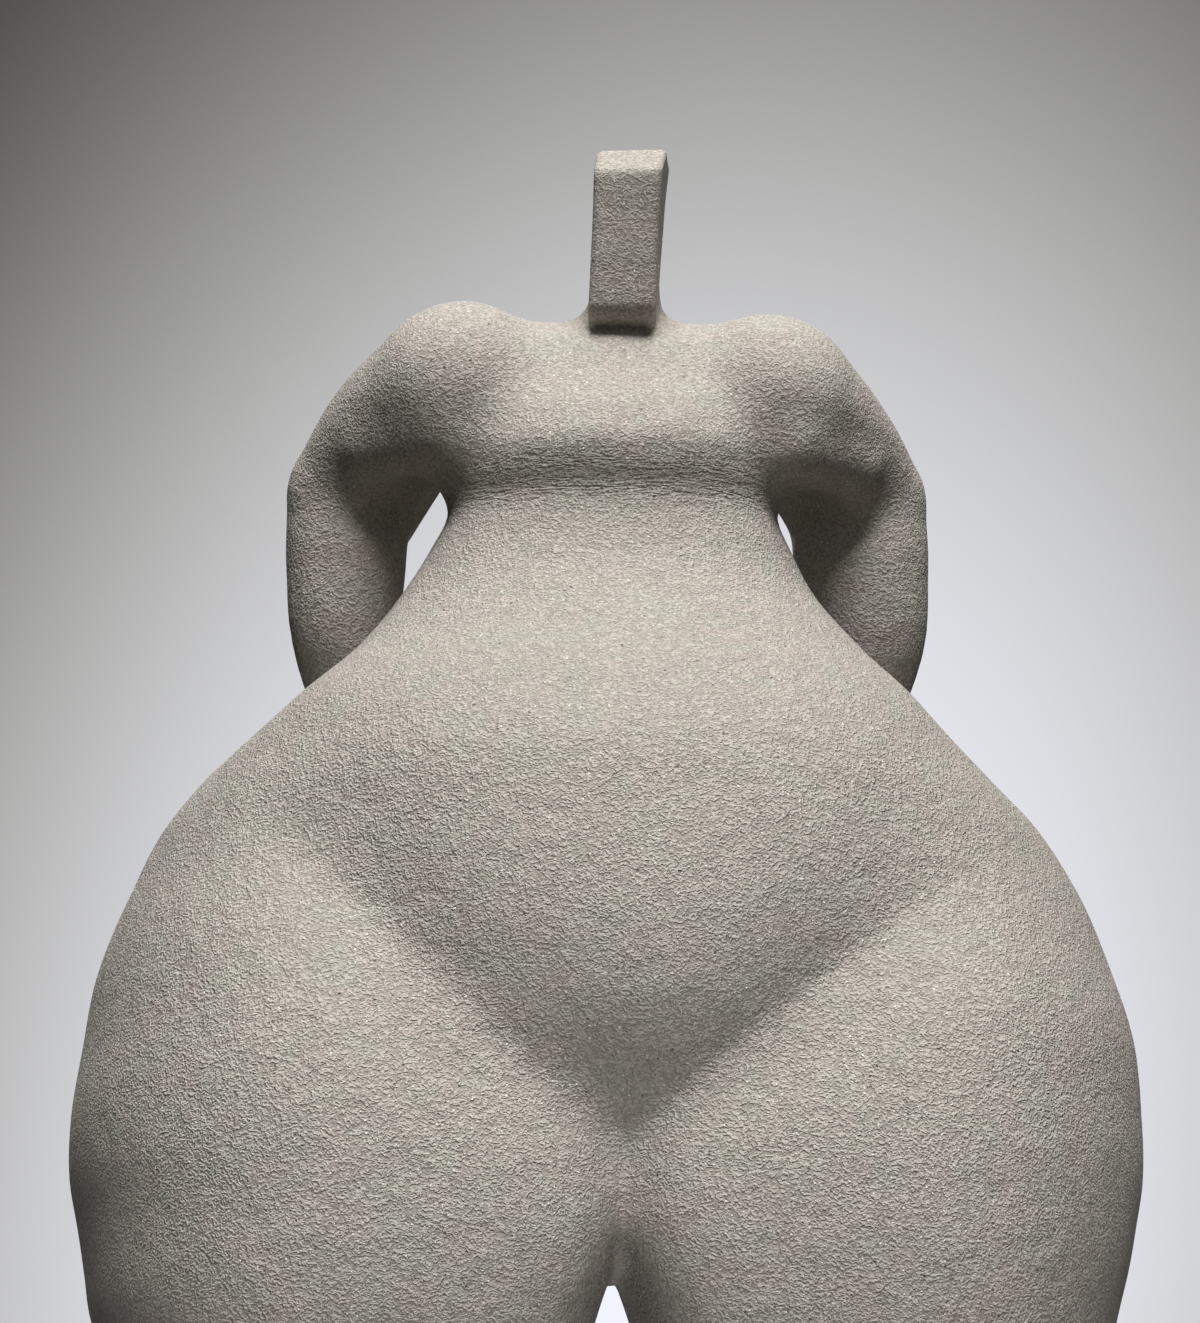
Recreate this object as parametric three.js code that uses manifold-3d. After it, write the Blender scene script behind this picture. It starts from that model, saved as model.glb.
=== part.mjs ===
import * as THREE from 'three';
import Module from 'manifold-3d';
import { mergeVertices } from 'three/addons/utils/BufferGeometryUtils.js';

// Standing female figure with a low base, hand built in coarse grogged stoneware.
// Millimetres, +Z up, the figure faces -Y. Its origin is the middle of the base's underside.
// The whole piece is one clay body, so it is one solid.

// ---- base ----
const BASE_WIDTH = 190;
const BASE_DEPTH = 150;
const BASE_HEIGHT = 22;
const BASE_CORNER = 24;
const BASE_EDGE = 3;

// ---- trunk: outline seen from the front (left, right) and from the side (front, back) ----
const TRUNK_ROUNDNESS = 2;
const TRUNK = [
  { z: 545.5, left: -31, right: 30, front: -3, back: 15 },
  { z: 537, left: -39, right: 38, front: -14, back: 23 },
  { z: 526, left: -43, right: 42, front: -25, back: 28 },
  { z: 513, left: -43.5, right: 42.5, front: -32.5, back: 31 },
  { z: 503, left: -43.2, right: 41.5, front: -34, back: 31 },
  { z: 493, left: -42.4, right: 41.3, front: -30.5, back: 31 },
  { z: 484, left: -46.5, right: 45, front: -30, back: 33 },
  { z: 472, left: -53.6, right: 50.8, front: -35.5, back: 37 },
  { z: 458, left: -64, right: 61.9, front: -49, back: 43 },
  { z: 441, left: -82, right: 77.6, front: -66, back: 53 },
  { z: 424, left: -90.5, right: 86.5, front: -79.5, back: 63 },
  { z: 404, left: -94.5, right: 92.5, front: -87.5, back: 66 },
  { z: 386, left: -93.5, right: 91.5, front: -92.5, back: 64 },
  { z: 370, left: -90.5, right: 88.5, front: -94.5, back: 60 },
  { z: 355, left: -84, right: 82, front: -93.5, back: 57 },
  { z: 342, left: -74, right: 72, front: -87.5, back: 54 },
  { z: 330, left: -61.5, right: 59.5, front: -77.5, back: 50 },
  { z: 318, left: -48.5, right: 46.5, front: -57, back: 40 },
];

// ---- hips, thighs and lower legs: inner is the side next to the other leg ----
const LEG_WIDEST = 0.68;
const INNER_FRONT = -85;
const INNER_RISE = 0.35;
const MIDLINE = -2.6;
const LEG_ROUND_OUTER = 2.1;
const LEG_ROUND_INNER_FRONT = 4.3;
const LEG_ROUND_INNER_BACK = 2.2;
const LEG_SEAM = 1.4;
const HIP_SEAM = 12.5;
const LEG = [
  { z: 453, inner: 24, right: 49, left: 57, front: -17, back: 27 },
  { z: 437, inner: 3, right: 84.5, left: 91.7, front: -34, back: 55 },
  { z: 420, inner: -8, right: 106, left: 110, front: -49.5, back: 75 },
  { z: 400, inner: -14, right: 119.8, left: 121, front: -61.5, back: 86 },
  { z: 380, inner: -17, right: 127.3, left: 128.7, front: -74, back: 93 },
  { z: 360, inner: -19, right: 132.7, left: 132, front: -84, back: 95 },
  { z: 342, inner: -19.7, right: 133, left: 134.5, front: -90, back: 92 },
  { z: 327, inner: -19, right: 132, left: 134, front: -93, back: 87.5 },
  { z: 314, inner: -15.5, right: 129.3, left: 131.2, front: -94, back: 82 },
  { z: 304, inner: -10.9, right: 126.9, left: 129.5, front: -94, back: 76.5 },
  { z: 295, inner: -6.6, right: 124.3, left: 128.2, front: -93.2, back: 71.3 },
  { z: 286, inner: -2.0, right: 121.8, left: 125.6, front: -92, back: 66.4 },
  { z: 260, inner: 6.5, right: 114, left: 117.7, front: -84, back: 56 },
  { z: 230, inner: 11, right: 101.5, left: 104, front: -71, back: 48 },
  { z: 195, inner: 13, right: 86, left: 87.5, front: -57, back: 41.5 },
  { z: 160, inner: 13, right: 74, left: 75, front: -43, back: 39 },
  { z: 125, inner: 13, right: 65, left: 65, front: -34, back: 38 },
  { z: 90, inner: 13, right: 55, left: 55, front: -27, back: 32 },
  { z: 60, inner: 13, right: 47, left: 47, front: -22, back: 24 },
  { z: 30, inner: 12, right: 44, left: 44, front: -20, back: 20 },
  { z: 10, inner: 12, right: 44, left: 44, front: -20, back: 20 },
];

// ---- arms: they go out and back to the elbow, then down behind the hips ----
const HOLLOW_EDGE = 4;
const ARM_RIGHT = {
  upper: [[38.8, -1, 522.2, 23.7], [56.7, 12.7, 515.2, 17], [65.4, 26, 505.2, 16.2]],
  lower: [[65.4, 27, 503, 16.6], [65.6, 28.5, 486, 17.3], [65.5, 34, 463, 15.2], [54, 59, 425, 9.5]],
  web: [[50, 28, 514.5, 12], [59.4, 36, 503.5, 13], [63, 33, 492.5, 15]],
  hollow: [[67, 11, 499, 3], [43.5, 9, 501.5, 15.5]],
};
const ARM_LEFT = {
  upper: [[38.4, -1, 524.3, 23.7], [56.2, 12.7, 517.5, 17.2], [66.6, 26, 506, 15.4]],
  lower: [[66.6, 27, 503, 16], [67.2, 28.5, 486, 15.6], [66.3, 33, 463, 13.4], [54, 59, 425, 9.5]],
  web: [[50, 28, 517.7, 12], [58.3, 36, 507.5, 13], [64.5, 33, 500, 14.8]],
  hollow: [[68, 11, 504, 3], [45.5, 9, 500.5, 16]],
};

// ---- neck and block head; the head turns a little to one side and leans towards its crown ----
const NECK_LOW = [2.6, 6, 536, 9.2];
const NECK_HIGH = [2.6, -7, 560, 7.2];
const HEAD_CENTRE = [2.8, -12, 563];
const HEAD_HALF_WIDTH = 8.85;
const HEAD_HALF_DEPTH = 13.5;
const HEAD_HALF_HEIGHT = 22;
const HEAD_WIDENING = 0.3;
const HEAD_LEAN = 0.8;
const HEAD_NOD = 3.1;
const HEAD_TURN = -0.10;
const HEAD_TWIST = -0.03;
const HEAD_EDGE = 2.6;
const CROWN_START = 13;
const CROWN_SLOPE = 0.62;

// ---- groin fold: a V where the belly sinks in above the thighs, softer on the left ----
const FOLD_X = -1.5;
const FOLD_TIP = 329.6;
const FOLD_DEPTH = 6.6;
const FOLD_BELOW = 18.5;
const FOLD_LEFT = { slope: 0.83, bend: 0.0012, above: 20, soft: 4.6, fades: 50, ends: 104 };
const FOLD_RIGHT = { slope: 0.9, bend: -0.0015, above: 10, soft: 2.6, fades: 40, ends: 97 };

// ---- feet ----
const HEEL = [27.5, 4, 35, 14];
const TOE = [32, -46, 30, 10];

// ---- facets ----
const GRID = 3;
const LIMB_CUTS = 5;
const FACETS = 8900;

// Smooth curve through the stations of a section table, along z.
function curve(rows, key) {
  const sorted = [...rows].sort((a, b) => a.z - b.z);
  const z = sorted.map((row) => row.z);
  const v = sorted.map((row) => row[key]);
  const last = z.length - 1;
  const slope = (i) => (v[i + 1] - v[i]) / (z[i + 1] - z[i]);
  const tangent = v.map((_, i) => {
    if (i === 0) return slope(0);
    if (i === last) return slope(last - 1);
    const before = z[i] - z[i - 1];
    const after = z[i + 1] - z[i];
    return (slope(i - 1) * after + slope(i) * before) / (before + after);
  });
  let seen = NaN;
  let value = 0;
  return (at) => {
    if (at === seen) return value;
    seen = at;
    const zc = Math.min(Math.max(at, z[0]), z[last]);
    let i = 0;
    while (i < last - 1 && zc > z[i + 1]) i += 1;
    const h = z[i + 1] - z[i];
    const s = (zc - z[i]) / h;
    const s2 = s * s;
    const s3 = s2 * s;
    value = (2 * s3 - 3 * s2 + 1) * v[i] + (s3 - 2 * s2 + s) * h * tangent[i]
      + (3 * s2 - 2 * s3) * v[i + 1] + (s3 - s2) * h * tangent[i + 1];
    return value;
  };
}

const clamp = (v, low, high) => Math.min(Math.max(v, low), high);

function smoothStep(low, high, v) {
  const t = clamp((v - low) / (high - low), 0, 1);
  return t * t * (3 - 2 * t);
}

// Union and intersection of two distances with a rounded seam of size k.
function join(a, b, k) {
  const h = clamp(0.5 + 0.5 * (b - a) / k, 0, 1);
  return b * (1 - h) + a * h - k * h * (1 - h);
}

function meet(a, b, k) {
  return -join(-a, -b, k);
}

// Distance to a superellipse with radii rx, ry; n = 2 is an ellipse, more is squarer.
function sectionDistance(x, y, rx, ry, n) {
  const u = Math.max(Math.abs(x) / rx, 1e-6);
  const v = Math.max(Math.abs(y) / ry, 1e-6);
  const norm = Math.pow(Math.pow(u, n) + Math.pow(v, n), 1 / n);
  const gx = Math.pow(u / norm, n - 1) / rx;
  const gy = Math.pow(v / norm, n - 1) / ry;
  return (norm - 1) / Math.hypot(gx, gy);
}

// Distance to the skin around two balls; a ball is x, y, z and radius.
function roundCone(x, y, z, a, b) {
  const dx = b[0] - a[0];
  const dy = b[1] - a[1];
  const dz = b[2] - a[2];
  const length2 = dx * dx + dy * dy + dz * dz;
  const length = Math.sqrt(length2);
  const along = ((x - a[0]) * dx + (y - a[1]) * dy + (z - a[2]) * dz) / length;
  const away2 = (x - a[0]) ** 2 + (y - a[1]) ** 2 + (z - a[2]) ** 2 - along * along;
  const taper = a[3] - b[3];
  const slant = taper / Math.sqrt(Math.max(length2 - taper * taper, 1e-6));
  const t = clamp((along - slant * Math.sqrt(Math.max(away2, 0))) / length, 0, 1);
  const gap = Math.hypot(x - a[0] - t * dx, y - a[1] - t * dy, z - a[2] - t * dz);
  return gap - (a[3] - taper * t);
}

function makeTrunk(rows) {
  const left = curve(rows, 'left');
  const right = curve(rows, 'right');
  const front = curve(rows, 'front');
  const back = curve(rows, 'back');
  const top = rows[0].z;
  const bottom = rows[rows.length - 1].z;
  return (x, y, z) => {
    const rx = Math.max((right(z) - left(z)) / 2, 0.5);
    const ry = Math.max((back(z) - front(z)) / 2, 0.5);
    const xc = (left(z) + right(z)) / 2;
    const yc = (front(z) + back(z)) / 2;
    const side = sectionDistance(x - xc, y - yc, rx, ry, TRUNK_ROUNDNESS);
    return meet(side, Math.max(z - top, bottom - z), 10);
  };
}

// The inner side of a leg is read lower down towards the back, so the space between rises that way.
function innerRaised(inner, y, z) {
  return inner(z - INNER_RISE * (clamp(y, -95, 95) - INNER_FRONT));
}

// A leg on the +X side; midline is where the two legs meet.
function makeLeg(rows, outerKey, midline) {
  const inner = curve(rows, 'inner');
  const outer = curve(rows, outerKey);
  const front = curve(rows, 'front');
  const back = curve(rows, 'back');
  const top = rows[0].z;
  const bottom = rows[rows.length - 1].z;
  return (x, y, z) => {
    const inside = innerRaised(inner, y, z) + midline;
    const rx = Math.max((outer(z) - inside) / 2, 0.5);
    const u = x - (inside + outer(z)) / 2;
    const yc = front(z) + LEG_WIDEST * (back(z) - front(z));
    const v = y - yc;
    const ry = v < 0 ? yc - front(z) : back(z) - yc;
    const innerRound = v < 0 ? LEG_ROUND_INNER_FRONT : LEG_ROUND_INNER_BACK;
    const side = sectionDistance(u, v, rx, ry, u < 0 ? innerRound : LEG_ROUND_OUTER);
    return meet(side, Math.max(z - top, bottom - z), 10);
  };
}

// Round cones along a smooth path through the joints; a joint is x, y, z and radius.
function limb(joints) {
  const path = [];
  for (let i = 0; i < joints.length - 1; i += 1) {
    const a = joints[Math.max(i - 1, 0)];
    const b = joints[i];
    const c = joints[i + 1];
    const d = joints[Math.min(i + 2, joints.length - 1)];
    for (let n = 0; n < LIMB_CUTS; n += 1) {
      const t = n / LIMB_CUTS;
      path.push(b.map((v, k) => v + 0.5 * t * (c[k] - a[k]
        + t * (2 * a[k] - 5 * v + 4 * c[k] - d[k] + t * (3 * (v - c[k]) + d[k] - a[k])))));
    }
  }
  path.push(joints[joints.length - 1]);
  return (x, y, z) => {
    let nearest = Infinity;
    for (let i = 0; i < path.length - 1; i += 1) {
      nearest = Math.min(nearest, roundCone(x, y, z, path[i], path[i + 1]));
    }
    return nearest;
  };
}

// An arm has a web of clay inside the bent elbow, hollowed out from the front.
// An arm has a web of clay inside the bent elbow, hollowed out from the front.
// An arm has a web of clay inside the bent elbow, hollowed out from the front.
// An arm has a web of clay inside the bent elbow, hollowed out from the front.
// An arm has a web of clay inside the bent elbow, hollowed out from the front.
function makeArm(arm) {
  const upper = limb(arm.upper);
  const lower = limb(arm.lower);
  const web = limb(arm.web);
  return (x, y, z) => {
    const bent = join(upper(x, y, z), lower(x, y, z), 2.5);
    const webbed = join(bent, web(x, y, z), 2);
    return meet(webbed, -roundCone(x, y, z, ...arm.hollow), HOLLOW_EDGE);
  };
}

function headDistance(x, y, z) {
  const pz = z - HEAD_CENTRE[2];
  const t = pz / HEAD_HALF_HEIGHT;
  const turn = HEAD_TURN + HEAD_TWIST * clamp(t, -1, 1);
  const px = x - HEAD_CENTRE[0] - HEAD_LEAN * t;
  const py = y - HEAD_CENTRE[1] + HEAD_NOD * t;
  const qx = px * Math.cos(turn) + py * Math.sin(turn);
  const qy = py * Math.cos(turn) - px * Math.sin(turn);
  const dx = Math.abs(qx) - (HEAD_HALF_WIDTH + HEAD_WIDENING * t) + HEAD_EDGE;
  const dy = Math.abs(qy) - HEAD_HALF_DEPTH + HEAD_EDGE;
  const dz = Math.abs(pz) - HEAD_HALF_HEIGHT + HEAD_EDGE;
  const outside = Math.hypot(Math.max(dx, 0), Math.max(dy, 0), Math.max(dz, 0));
  const block = outside + Math.min(Math.max(dx, dy, dz), 0) - HEAD_EDGE;
  const crown = (-qy - HEAD_HALF_DEPTH) * Math.sin(CROWN_SLOPE)
    + (pz - CROWN_START) * Math.cos(CROWN_SLOPE);
  return meet(block, crown, 1.6);
}

// How far the front surface sinks at the groin fold.
function foldDepth(x, y, z) {
  if (y > -20) return 0;
  const across = x - FOLD_X;
  const side = smoothStep(-12, 12, across);
  const mixed = (key) => FOLD_LEFT[key] + side * (FOLD_RIGHT[key] - FOLD_LEFT[key]);
  const slope = mixed('slope');
  const soft = mixed('soft');
  const out = Math.hypot(across, 3) - 3;
  const off = (z - FOLD_TIP - slope * out - mixed('bend') * out * out) / Math.hypot(1, slope);
  const reach = off > 0 ? mixed('above') : FOLD_BELOW;
  const sink = Math.exp((soft - Math.hypot(off, soft)) / reach);
  const ends = 1 - smoothStep(mixed('fades'), mixed('ends'), Math.abs(across));
  return FOLD_DEPTH * ends * sink * (1 - smoothStep(-50, -20, y));
}

const trunk = makeTrunk(TRUNK);
const legRight = makeLeg(LEG, 'right', MIDLINE);
const legLeft = makeLeg(LEG, 'left', -MIDLINE);
const armRight = makeArm(ARM_RIGHT);
const armLeft = makeArm(ARM_LEFT);

// Distance to the whole figure, negative inside.
function figure(x, y, z) {
  let body = join(legRight(x, y, z), legLeft(-x, y, z), LEG_SEAM);
  if (z > 290) body = join(trunk(x, y, z), body, HIP_SEAM);
  if (z > 200) body += foldDepth(x, y, z);
  if (z > 400) {
    body = join(body, armRight(x, y, z), 8);
    body = join(body, armLeft(-x, y, z), 8);
  }
  if (z > 510) {
    body = join(body, roundCone(x, y, z, NECK_LOW, NECK_HIGH), 9);
    body = join(body, headDistance(x, y, z), 2);
  }
  if (z < 90) body = join(body, roundCone(Math.abs(x), y, z, HEEL, TOE), 9);
  return body;
}

// Corner paths of the six tetrahedra that fill a cube; bit 1 is +X, bit 2 is +Y, bit 4 is +Z.
const CUBE_PATHS = [[0, 1, 3, 7], [0, 1, 5, 7], [0, 2, 3, 7], [0, 2, 6, 7], [0, 4, 5, 7], [0, 4, 6, 7]];

// Closed surface where the distance is zero, as points and triangles with faces pointing out.
function surface(distance, low, high, step) {
  const count = low.map((v, i) => Math.ceil((high[i] - v) / step) + 1);
  const [nx, ny, nz] = count;
  const value = new Float64Array(nx * ny * nz);
  for (let k = 0; k < nz; k += 1) {
    for (let j = 0; j < ny; j += 1) {
      for (let i = 0; i < nx; i += 1) {
        value[(k * ny + j) * nx + i] = distance(
          low[0] + i * step, low[1] + j * step, low[2] + k * step);
      }
    }
  }
  const place = (id) => {
    const i = id % nx;
    const j = Math.floor(id / nx) % ny;
    const k = Math.floor(id / (nx * ny));
    return [low[0] + i * step, low[1] + j * step, low[2] + k * step];
  };
  const points = [];
  const faces = [];
  const known = new Map();
  const crossing = (inId, outId) => {
    const key = Math.min(inId, outId) * value.length + Math.max(inId, outId);
    let at = known.get(key);
    if (at === undefined) {
      const t = clamp(value[inId] / (value[inId] - value[outId]), 0.04, 0.96);
      const a = place(inId);
      const b = place(outId);
      at = points.length;
      points.push(a.map((v, n) => v + (b[n] - v) * t));
      known.set(key, at);
    }
    return at;
  };
  const addFace = (a, b, c, outward) => {
    const [p, q, r] = [points[a], points[b], points[c]];
    const u = [q[0] - p[0], q[1] - p[1], q[2] - p[2]];
    const w = [r[0] - p[0], r[1] - p[1], r[2] - p[2]];
    const facing = (u[1] * w[2] - u[2] * w[1]) * outward[0]
      + (u[2] * w[0] - u[0] * w[2]) * outward[1]
      + (u[0] * w[1] - u[1] * w[0]) * outward[2];
    faces.push(facing > 0 ? [a, b, c] : [a, c, b]);
  };
  const corner = new Array(8);
  for (let k = 0; k < nz - 1; k += 1) {
    for (let j = 0; j < ny - 1; j += 1) {
      for (let i = 0; i < nx - 1; i += 1) {
        let inside = 0;
        for (let c = 0; c < 8; c += 1) {
          corner[c] = ((k + (c >> 2)) * ny + j + ((c >> 1) & 1)) * nx + i + (c & 1);
          if (value[corner[c]] < 0) inside += 1;
        }
        if (inside === 0 || inside === 8) continue;
        for (const path of CUBE_PATHS) {
          const ids = path.map((c) => corner[c]);
          const ins = ids.filter((id) => value[id] < 0);
          const outs = ids.filter((id) => value[id] >= 0);
          if (ins.length === 0 || outs.length === 0) continue;
          const mean = (list) => {
            const sum = [0, 0, 0];
            for (const id of list) {
              place(id).forEach((v, n) => { sum[n] += v / list.length; });
            }
            return sum;
          };
          const from = mean(ins);
          const outward = mean(outs).map((v, n) => v - from[n]);
          if (ins.length === 1) {
            addFace(crossing(ins[0], outs[0]), crossing(ins[0], outs[1]),
              crossing(ins[0], outs[2]), outward);
          } else if (outs.length === 1) {
            addFace(crossing(ins[0], outs[0]), crossing(ins[1], outs[0]),
              crossing(ins[2], outs[0]), outward);
          } else {
            const a = crossing(ins[0], outs[0]);
            const b = crossing(ins[0], outs[1]);
            const c = crossing(ins[1], outs[1]);
            const d = crossing(ins[1], outs[0]);
            addFace(a, b, c, outward);
            addFace(a, c, d, outward);
          }
        }
      }
    }
  }
  return { points, faces };
}

// Moves each point along the surface normal until it lies on the form.
function settle(distance, points) {
  const e = 0.05;
  for (const p of points) {
    for (let turn = 0; turn < 2; turn += 1) {
      const d = distance(p[0], p[1], p[2]);
      const gx = (distance(p[0] + e, p[1], p[2]) - distance(p[0] - e, p[1], p[2])) / (2 * e);
      const gy = (distance(p[0], p[1] + e, p[2]) - distance(p[0], p[1] - e, p[2])) / (2 * e);
      const gz = (distance(p[0], p[1], p[2] + e) - distance(p[0], p[1], p[2] - e)) / (2 * e);
      const pull = clamp(d / Math.max(gx * gx + gy * gy + gz * gz, 0.2), -1, 1);
      p[0] -= gx * pull;
      p[1] -= gy * pull;
      p[2] -= gz * pull;
    }
  }
}

// Facets are worth more on the small forms: the head, neck and arms, and the feet.
function facetWorth(p) {
  if (p[2] > 536) return 30;
  if (p[2] > 480) return 6;
  if (p[2] < 60) return 3;
  return 1;
}

// Merges the least needed edges until the wanted number of facets is left.
function reduce(mesh, wanted) {
  const { points } = mesh;
  const faces = mesh.faces.map((f) => [...f]);
  const alive = new Uint8Array(faces.length).fill(1);
  const around = points.map(() => new Set());
  const quadric = points.map(() => new Float64Array(10));
  faces.forEach((f, id) => f.forEach((v) => around[v].add(id)));
  const normalOf = (p, q, r) => {
    const u = [q[0] - p[0], q[1] - p[1], q[2] - p[2]];
    const w = [r[0] - p[0], r[1] - p[1], r[2] - p[2]];
    return [u[1] * w[2] - u[2] * w[1], u[2] * w[0] - u[0] * w[2], u[0] * w[1] - u[1] * w[0]];
  };
  for (const f of faces) {
    const [p, q, r] = f.map((v) => points[v]);
    const n = normalOf(p, q, r);
    const size = Math.hypot(...n);
    if (size < 1e-9) continue;
    const [a, b, c] = n.map((v) => v / size);
    const d = -(a * p[0] + b * p[1] + c * p[2]);
    const w = size * facetWorth(p);
    const plane = [a * a, a * b, a * c, a * d, b * b, b * c, b * d, c * c, c * d, d * d];
    for (const v of f) plane.forEach((term, i) => { quadric[v][i] += w * term; });
  }
  const errorAt = (q, p) => q[0] * p[0] * p[0] + 2 * q[1] * p[0] * p[1] + 2 * q[2] * p[0] * p[2]
    + 2 * q[3] * p[0] + q[4] * p[1] * p[1] + 2 * q[5] * p[1] * p[2] + 2 * q[6] * p[1]
    + q[7] * p[2] * p[2] + 2 * q[8] * p[2] + q[9];
  const bestPoint = (q, a, b) => {
    const middle = a.map((v, i) => (v + b[i]) / 2);
    const length2 = a.reduce((sum, v, i) => sum + (v - b[i]) * (v - b[i]), 0);
    // A light pull to the middle keeps the point steady on flat or tubular ground.
    const hold = 1e-3 * (q[0] + q[4] + q[7]) + 1e-9;
    const m00 = q[0] + hold;
    const m11 = q[4] + hold;
    const m22 = q[7] + hold;
    const r0 = hold * middle[0] - q[3];
    const r1 = hold * middle[1] - q[6];
    const r2 = hold * middle[2] - q[8];
    const c00 = m11 * m22 - q[5] * q[5];
    const c01 = q[2] * q[5] - q[1] * m22;
    const c02 = q[1] * q[5] - q[2] * m11;
    const c11 = m00 * m22 - q[2] * q[2];
    const c12 = q[1] * q[2] - m00 * q[5];
    const c22 = m00 * m11 - q[1] * q[1];
    const det = m00 * c00 + q[1] * c01 + q[2] * c02;
    let point = middle;
    if (Math.abs(det) > 1e-12) {
      const tried = [
        (c00 * r0 + c01 * r1 + c02 * r2) / det,
        (c01 * r0 + c11 * r1 + c12 * r2) / det,
        (c02 * r0 + c12 * r1 + c22 * r2) / det,
      ];
      const off2 = tried.reduce((sum, v, i) => sum + (v - middle[i]) * (v - middle[i]), 0);
      if (off2 < 1.5 * length2 + 0.01) point = tried;
    }
    return { point, length2 };
  };

  // Binary heap of edges, cheapest first.
  const heap = [];
  const stamp = new Uint32Array(points.length);
  const push = (item) => {
    let i = heap.length;
    heap.push(item);
    while (i > 0) {
      const up = (i - 1) >> 1;
      if (heap[up].cost <= item.cost) break;
      heap[i] = heap[up];
      i = up;
    }
    heap[i] = item;
  };
  const pop = () => {
    const top = heap[0];
    const item = heap.pop();
    if (heap.length > 0) {
      let i = 0;
      for (;;) {
        let down = 2 * i + 1;
        if (down >= heap.length) break;
        if (down + 1 < heap.length && heap[down + 1].cost < heap[down].cost) down += 1;
        if (heap[down].cost >= item.cost) break;
        heap[i] = heap[down];
        i = down;
      }
      heap[i] = item;
    }
    return top;
  };
  const neighbours = (v) => {
    const found = new Set();
    for (const id of around[v]) {
      for (const other of faces[id]) if (other !== v) found.add(other);
    }
    return found;
  };
  const offer = (a, b) => {
    const q = quadric[a].map((v, i) => v + quadric[b][i]);
    const { point, length2 } = bestPoint(q, points[a], points[b]);
    const cost = Math.max(errorAt(q, point), 0) + 2e-4 * length2 * facetWorth(point);
    push({ cost, a, b, point, stampA: stamp[a], stampB: stamp[b] });
  };
  const keepsShape = (v, other, point) => {
    for (const id of around[v]) {
      const f = faces[id];
      if (f.includes(other)) continue;
      const before = normalOf(...f.map((c) => points[c]));
      const after = normalOf(...f.map((c) => (c === v ? point : points[c])));
      const sizeBefore = Math.hypot(...before);
      const sizeAfter = Math.hypot(...after);
      if (sizeAfter < 1e-3) return false;
      const dot = before[0] * after[0] + before[1] * after[1] + before[2] * after[2];
      if (sizeBefore > 1e-6 && dot < 0.35 * sizeBefore * sizeAfter) return false;
      const corners = f.map((c) => (c === v ? point : points[c]));
      let longest = 0;
      for (let i = 0; i < 3; i += 1) {
        const p = corners[i];
        const r = corners[(i + 1) % 3];
        longest = Math.max(longest, Math.hypot(p[0] - r[0], p[1] - r[1], p[2] - r[2]));
      }
      if (sizeAfter < 0.05 * longest * longest) return false;
    }
    return true;
  };
  let left = faces.length;
  points.forEach((_, a) => {
    for (const b of neighbours(a)) if (a < b) offer(a, b);
  });
  while (left > wanted && heap.length > 0) {
    const { a, b, point, stampA, stampB } = pop();
    if (stamp[a] !== stampA || stamp[b] !== stampB) continue;
    if (around[a].size === 0 || around[b].size === 0) continue;
    const nearA = neighbours(a);
    let shared = 0;
    for (const v of neighbours(b)) if (nearA.has(v)) shared += 1;
    if (shared !== 2 || !nearA.has(b)) continue;
    if (!keepsShape(a, b, point) || !keepsShape(b, a, point)) continue;
    points[a] = point;
    quadric[b].forEach((v, i) => { quadric[a][i] += v; });
    for (const id of [...around[b]]) {
      const f = faces[id];
      if (f.includes(a)) {
        alive[id] = 0;
        left -= 1;
        for (const v of f) around[v].delete(id);
      } else {
        f[f.indexOf(b)] = a;
        around[a].add(id);
      }
    }
    around[b].clear();
    stamp[a] += 1;
    stamp[b] += 1;
    for (const v of neighbours(a)) offer(a, v);
  }
  return { points, faces: faces.filter((_, id) => alive[id] === 1) };
}

function toGeometry({ points, faces }) {
  const number = new Map();
  const flat = [];
  const index = [];
  for (const f of faces) {
    for (const v of f) {
      if (!number.has(v)) {
        number.set(v, number.size);
        flat.push(...points[v]);
      }
      index.push(number.get(v));
    }
  }
  const geometry = new THREE.BufferGeometry();
  geometry.setAttribute('position', new THREE.Float32BufferAttribute(flat, 3));
  geometry.setIndex(index);
  return geometry;
}

function baseGeometry() {
  const w = BASE_WIDTH / 2 - BASE_EDGE;
  const d = BASE_DEPTH / 2 - BASE_EDGE;
  const r = BASE_CORNER - BASE_EDGE;
  const outline = new THREE.Shape();
  outline.moveTo(-w + r, -d);
  outline.lineTo(w - r, -d);
  outline.absarc(w - r, -d + r, r, -Math.PI / 2, 0, false);
  outline.lineTo(w, d - r);
  outline.absarc(w - r, d - r, r, 0, Math.PI / 2, false);
  outline.lineTo(-w + r, d);
  outline.absarc(-w + r, d - r, r, Math.PI / 2, Math.PI, false);
  outline.lineTo(-w, -d + r);
  outline.absarc(-w + r, -d + r, r, Math.PI, 1.5 * Math.PI, false);
  const slab = new THREE.ExtrudeGeometry(outline, {
    depth: BASE_HEIGHT - 2 * BASE_EDGE,
    bevelEnabled: true,
    bevelThickness: BASE_EDGE,
    bevelSize: BASE_EDGE,
    bevelSegments: 3,
    curveSegments: 6,
  });
  slab.translate(0, 0, BASE_EDGE);
  return slab;
}

const wasm = await Module();
wasm.setup();

function solid(geometry) {
  geometry.deleteAttribute('normal');
  geometry.deleteAttribute('uv');
  const merged = mergeVertices(geometry, 1e-4);
  return new wasm.Manifold(new wasm.Mesh({
    numProp: 3,
    vertProperties: new Float32Array(merged.attributes.position.array),
    triVerts: new Uint32Array(merged.index.array),
  }));
}

const fine = surface(figure, [-147, -105, 6], [147, 108, 594], GRID);
settle(figure, fine.points);
const body = solid(toGeometry(reduce(fine, FACETS)));
const joined = body.add(solid(baseGeometry())).getMesh();

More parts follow.
